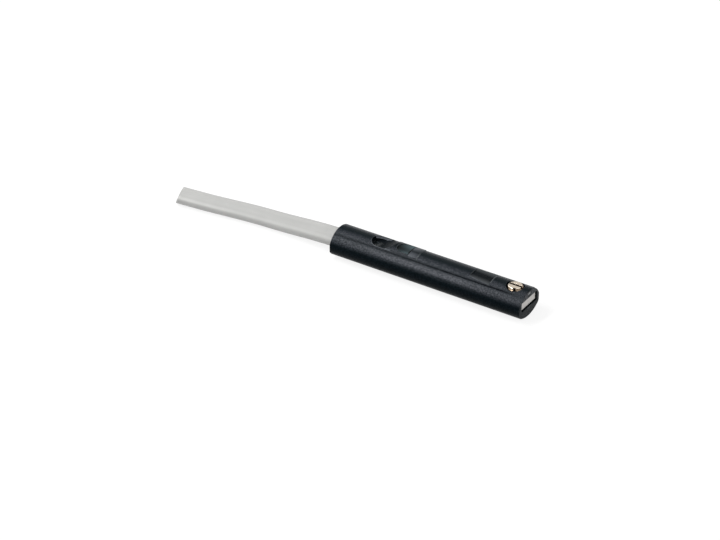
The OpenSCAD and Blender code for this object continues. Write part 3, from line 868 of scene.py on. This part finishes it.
def chip_finish(name, colour, length, spacing):
    """A coloured body with tinned caps; spacing is that of the parts that share one node."""
    made, tree, shader = new_material(name)
    place = object_place(tree)
    along = minus(tree, axes(tree, place)[0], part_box(name)[0].x)
    own = calc(tree, "FLOORED_MODULO", along, spacing)
    cap = above(tree, away(tree, own, length / 2), length / 2 - CAP_LENGTH)
    cloud = noise(tree, place, 6000)
    body = blend(tree, cloud, *(tuple(share * part for part in colour) for share in (0.75, 1.25)))
    feed(tree, shader, Base_Color=blend(tree, cap, body, CAP_TIN), Metallic=cap,
         Roughness=between(tree, cloud, 0.25, 0.45))
    return made


for name, (slot, length, spacing) in CHIPS.items():
    finish_node(name, chip_finish(name, CHIP_COLOURS[slot], length, spacing))

# Cores and strands inside: the three cores leave the jacket in the housing, are stripped, and lie
# on their pads, where small cones of solder hold the copper.
SOLDER_TONE = (0.70, 0.70, 0.71, 1)


def solder_finish():
    """Bright solder with a slightly grainy skin."""
    made, tree, shader = new_material("solder_tin", Metallic=1.0, Base_Color=SOLDER_TONE)
    skin = noise(tree, object_place(tree), 9000, 3)
    feed(tree, shader, Roughness=between(tree, skin, 0.2, 0.4),
         Normal=bumped(tree, skin, FINE_RELIEF))
    return made


for colour_name in CORE_COLOURS:
    finish_node(f"core_{colour_name}", core_finishes[colour_name])
    finish_node(f"strands_{colour_name}", copper)
finish_node("solder_joints", solder_finish())

# Potting resin: black epoxy poured in through the fill port, which seals the board for good.
# Its top shows in the port, dark and glossy, with light grains of filler and small bubbles.
RESIN_TONES = (0.008, 0.011, 0.013), (0.05, 0.06, 0.068)
# Only grains whose random number is above this are pale
PALE_GRAINS = 0.55
BUBBLE_DEPTH = 0.00015


def resin_finish():
    """Dark glossy epoxy with pale grains of filler and small pits of bubbles."""
    made, tree, shader = new_material("potting_black", Specular_IOR_Level=0.3, Coat_Weight=0.1)
    place = object_place(tree)
    grains = add_node(tree, "ShaderNodeTexVoronoi", {"Vector": place, "Scale": 3600}).outputs
    speck = times(tree, ramp(tree, grains["Distance"], 0.36, 0.16),
                  above(tree, axes(tree, grains["Color"])[0], PALE_GRAINS))
    feed(tree, shader, Base_Color=blend(tree, speck, *RESIN_TONES),
         Roughness=between(tree, speck, 0.22, 0.5),
         Normal=bumped(tree, noise(tree, place, 2600), BUBBLE_DEPTH, 0.6))
    return made


finish_node("potting_resin", resin_finish())

# Clamp nut: a flat block of plated steel, sheared from strip and tapped through.
# It is pushed into its pocket from the end of the housing, where its light end face shows.
NUT_ROUNDING = 0.00006
NUT_TONES = (0.40, 0.385, 0.37), (0.52, 0.505, 0.49)


def nut_finish():
    """Plated steel with the fine upright lines of the shear, and softly rounded edges."""
    made, tree, shader = new_material("nut_plated", Metallic=0.9)
    place = object_place(tree)
    x, y, z = axes(tree, place)
    lines = noise(tree, joined(tree, x, y, times(tree, z, 0.08)), 9000, 3)
    edges = use_group(tree, rubbed_edges, Radius=NUT_ROUNDING)
    feed(tree, shader, Base_Color=blend(tree, noise(tree, place, 1200), *NUT_TONES),
         Roughness=between(tree, lines, 0.32, 0.5),
         Normal=bumped(tree, lines, FINE_RELIEF, 0.4, edges["Normal"]))
    return made


finish_node("clamp_nut", nut_finish())

# Clamp screw: a slotted set screw turned from brass, with a fine rolled thread.
# It runs in the nut, its top nearly flush with the crown, and clamps the bar in its slot.
SCREW_PITCH = 0.00045
THREAD_DEPTH = 0.00024
# Shares of half a turn at which the thread's crest ends and its root begins
THREAD_CREST = 0.12
THREAD_ROOT = 0.85
SCREW_BEVEL = 0.00016
SCREW_ROUNDING = 0.00005
# Its head is turned a little longer than the plain solid's
SCREW_STAND = 0.00012
# The thread's groove breaks out through its rim in a round nick
NICK_RADIUS = 0.00026
NICK_DEPTH = 0.0005
NICK_TURN = math.radians(-70)
NICK_SIDES = 24
SLOT_WIDTH = 0.00042
SLOT_DEPTH = 0.0007
SCREW_ROWS_PER_TURN = 16
SCREW_SIDES = 72
# Bright and brightest are the brass's own tones; deep and nick are painted shade
SCREW_TONES = {"bright": (0.64, 0.55, 0.44), "brightest": (0.77, 0.69, 0.58),
               "deep": (0.17, 0.11, 0.06), "nick": (0.03, 0.022, 0.015)}
screw_low, screw_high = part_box("clamp_screw")
screw_top = screw_high.z + SCREW_STAND
screw_radius = (screw_high.x - screw_low.x) / 2
screw_axis_x = (screw_high.x + screw_low.x) / 2


def moved(tree, geometry, place):
    """A geometry moved by a vector."""
    return add_node(tree, "GeometryNodeTransform", {
        "Geometry": geometry, "Translation": place}).outputs[0]


def cut_out(tree, body, cutter):
    """A mesh less another."""
    return add_node(tree, "GeometryNodeMeshBoolean", {"Mesh 1": body, "Mesh 2": cutter},
                    operation="DIFFERENCE", solver="EXACT").outputs["Mesh"]


def on_circle(tree, radius, angle, height):
    """A point on a circle about the Z axis."""
    return joined(tree, times(tree, radius, calc(tree, "COSINE", angle)),
                  times(tree, radius, calc(tree, "SINE", angle)), height)


def screw_tree():
    """A slotted set screw: a grid rolled into a threaded rod, with its slot and nick cut out."""
    tree = bpy.data.node_groups.new("slotted_set_screw", "GeometryNodeTree")
    add_sockets(tree, "Geometry", "Geometry")
    add_sockets(tree, "Float", "Radius", "Low", "High", "Pitch", "Thread Depth", "Crest", "Root",
                "Bevel", "Slot Width", "Slot Depth", "Nick Radius", "Nick Depth", "Nick Turn")
    add_sockets(tree, "Vector", "Axis")
    add_sockets(tree, "Int", "Sides", "Rows", "Nick Sides")
    add_sockets(tree, "Material", "Material")
    add_sockets(tree, "Geometry", "Geometry", in_out="OUTPUT")
    given = add_node(tree, "NodeGroupInput").outputs
    rolled = add_node(tree, "GeometryNodeMeshGrid", {
        "Size X": 1.0, "Size Y": 1.0, "Vertices X": plus(tree, given["Sides"], 1.0),
        "Vertices Y": plus(tree, given["Rows"], 1.0)}).outputs["Mesh"]
    across, along, _ = axes(tree, add_node(tree, "GeometryNodeInputPosition").outputs[0])
    # The first and last rows lie in the rod's ends and close them; the others climb its wall
    round_part = plus(tree, across, 0.5)
    row = calc(tree, "ROUND", times(tree, plus(tree, along, 0.5), given["Rows"]))
    share = calc(tree, "DIVIDE", minus(tree, row, 1.0), minus(tree, given["Rows"], 2.0))
    height = between(tree, share, given["Low"], given["High"])
    half_rows = calc(tree, "DIVIDE", given["Rows"], 2.0)
    on_wall = near(tree, row, half_rows, minus(tree, half_rows, 0.5))
    turns = minus(tree, calc(tree, "DIVIDE", height, given["Pitch"]), round_part)
    flank = times(tree, away(tree, calc(tree, "FRACT", turns), 0.5), 2.0)
    groove = times(tree, ramp(tree, flank, given["Crest"], given["Root"]), given["Thread Depth"])
    thread_radius = minus(tree, given["Radius"], groove)
    to_end = calc(tree, "MINIMUM", minus(tree, height, given["Low"]),
                  minus(tree, given["High"], height))
    bevel_radius = plus(tree, minus(tree, given["Radius"], given["Bevel"]), to_end)
    radius = times(tree, calc(tree, "MINIMUM", thread_radius, bevel_radius), on_wall)
    angle = times(tree, round_part, 2 * math.pi)
    rod = add_node(tree, "GeometryNodeSetPosition", {
        "Geometry": rolled, "Position": on_circle(tree, radius, angle, height)})
    closed = add_node(tree, "GeometryNodeMergeByDistance", {
        "Geometry": rod.outputs[0], "Distance": 1e-7}).outputs[0]
    blade = add_node(tree, "GeometryNodeMeshCube", {"Size": joined(
        tree, times(tree, given["Radius"], 4.0), given["Slot Width"],
        times(tree, given["Slot Depth"], 2.0))}).outputs["Mesh"]
    punch = add_node(tree, "GeometryNodeMeshCylinder", {
        "Vertices": given["Nick Sides"], "Radius": given["Nick Radius"],
        "Depth": times(tree, given["Nick Depth"], 2.0)}).outputs["Mesh"]
    nick_place = on_circle(tree, given["Radius"], given["Nick Turn"], given["High"])
    slotted = cut_out(tree, closed, moved(tree, blade, joined(tree, z=given["High"])))
    nicked = cut_out(tree, slotted, moved(tree, punch, nick_place))
    finish_geometry(tree, moved(tree, nicked, given["Axis"]), given["Material"])
    return tree


def brass_finish():
    """Turned brass: fine rings and a warm bright face, with painted shade below the top face, in
    its slot and thread, and darkest in its nick.
    """
    made, tree, shader = new_material("screw_brass", Metallic=1.0)
    place = object_place(tree)
    x, y, z = axes(tree, vector_calc(tree, "SUBTRACT", place, (screw_axis_x, 0, 0)))
    rings = noise(tree, joined(tree, distance(tree, x, y), 0.0, z), 12000)
    # Painted shade below the top face and in the nick
    deep = ramp(tree, z, screw_top - 0.00004, screw_top - 0.00018, 0.0, 0.8)
    from_nick = distance(tree, minus(tree, x, screw_radius * math.cos(NICK_TURN)),
                         minus(tree, y, screw_radius * math.sin(NICK_TURN)))
    in_nick = times(tree, below(tree, from_nick, NICK_RADIUS * 1.05),
                    above(tree, z, screw_top - NICK_DEPTH * 1.05))
    tone = blend(tree, noise(tree, place, 1500), SCREW_TONES["bright"], SCREW_TONES["brightest"])
    edges = use_group(tree, rubbed_edges, Radius=SCREW_ROUNDING)
    feed(tree, shader, Base_Color=layered(tree, tone, SCREW_TONES, deep=deep, nick=in_nick),
         Roughness=between(tree, rings, 0.22, 0.4),
         Normal=bumped(tree, rings, FINE_RELIEF, 0.3, edges["Normal"]))
    return made


clamp_screw = add_object("clamp_screw_threaded", bpy.data.meshes.new("clamp_screw_threaded"))
run_tree(clamp_screw, screw_tree(), radius=screw_radius, low=screw_low.z, high=screw_top,
         pitch=SCREW_PITCH, thread_depth=THREAD_DEPTH, crest=THREAD_CREST, root=THREAD_ROOT,
         bevel=SCREW_BEVEL, slot_width=SLOT_WIDTH, slot_depth=SLOT_DEPTH, nick_radius=NICK_RADIUS,
         nick_depth=NICK_DEPTH, nick_turn=NICK_TURN, nick_sides=NICK_SIDES,
         axis=(screw_axis_x, 0, 0), sides=SCREW_SIDES,
         rows=round((screw_top - screw_low.z) / SCREW_PITCH * SCREW_ROWS_PER_TURN),
         material=brass_finish())
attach(clamp_screw, "clamp_screw")
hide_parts("clamp_screw")

# Floor: a plain pale sheet under the bar. It shows white to the camera and in what shines,
# and keeps the bar's soft shadow.
FLOOR_HALF = 1.5
FLOOR_PALE = (0.62, 0.62, 0.62)
# What the floor sends back of the light, and adds of its own, where it is seen or mirrored
FLOOR_SEEN = (0.2, 0.2, 0.2)
FLOOR_LIFT = 0.85


def seen_rays(tree):
    """One for rays from the camera and for those that mirror or pass through, or else nought."""
    path = add_node(tree, "ShaderNodeLightPath").outputs
    return plus(tree, path["Is Camera Ray"], path["Is Glossy Ray"], path["Is Transmission Ray"])


def floor_finish():
    """Pale matt sheet, lifted to white where it is seen or mirrored, with a faint shadow left."""
    made = bpy.data.materials.new("floor_pale")
    tree = empty_tree(made)
    seen = seen_rays(tree)
    matt = add_node(tree, "ShaderNodeBsdfDiffuse", {
        "Color": blend(tree, seen, FLOOR_PALE, FLOOR_SEEN)})
    lift = add_node(tree, "ShaderNodeEmission", {"Strength": times(tree, seen, FLOOR_LIFT)})
    both = add_node(tree, "ShaderNodeAddShader", {0: matt.outputs[0], 1: lift.outputs[0]})
    add_node(tree, "ShaderNodeOutputMaterial", {"Surface": both.outputs[0]})
    return made


floor_mesh = bpy.data.meshes.new("floor")
floor_mesh.from_pydata([(FLOOR_HALF * x, FLOOR_HALF * y, 0) for x, y in (
    (-1, -1), (1, -1), (1, 1), (-1, 1))], [], [(0, 1, 2, 3)])
floor_mesh.materials.append(floor_finish())
floor = add_object("floor", floor_mesh)

# Lights: a long soft box above the near side, a wide one beyond the clamp end, two small ones for
# the screw's top and the rear of the crown, and a pale room all round.
ROOM_LIGHT = 0.45
ROOM_SEEN = 1.0


def soft_box(name, place, along, width, length, power):
    """A flat lamp at place that faces the part, with its long side running along a direction."""
    lamp = bpy.data.lights.new(name, "AREA")
    lamp.shape = "RECTANGLE"
    lamp.size = width
    lamp.size_y = length
    lamp.energy = power
    made = add_object(name, lamp)
    back = Vector(place).normalized()
    beside = Vector(along).cross(back).normalized()
    made.matrix_world = Matrix.Translation(place) @ Matrix(
        (beside, back.cross(beside), back)).transposed().to_4x4()


# Each with its place, the direction of its long side, its width and length, and its watts
soft_box("key_box", (-0.18, -0.13, 0.31), (0, 1, 0.2), 0.05, 0.36, 1.0)
soft_box("end_box", (0.34, 0.05, 0.12), (0, 1, 0), 0.14, 0.14, 0.2)
soft_box("top_box", (0.2, -0.08, 0.31), (0, 1, 0), 0.06, 0.06, 0.1)
soft_box("rear_box", (-0.35, 0, 0.13), (0, 1, 0), 0.08, 0.08, 0.1)
room = bpy.data.worlds.new("pale_room")
room_tree = empty_tree(room)
room_level = between(room_tree, seen_rays(room_tree), ROOM_LIGHT, ROOM_SEEN)
add_node(room_tree, "ShaderNodeOutputWorld", {"Surface": add_node(
    room_tree, "ShaderNodeBackground", {"Strength": room_level}).outputs[0]})
bpy.context.scene.world = room
bpy.context.scene.view_settings.view_transform = "Standard"
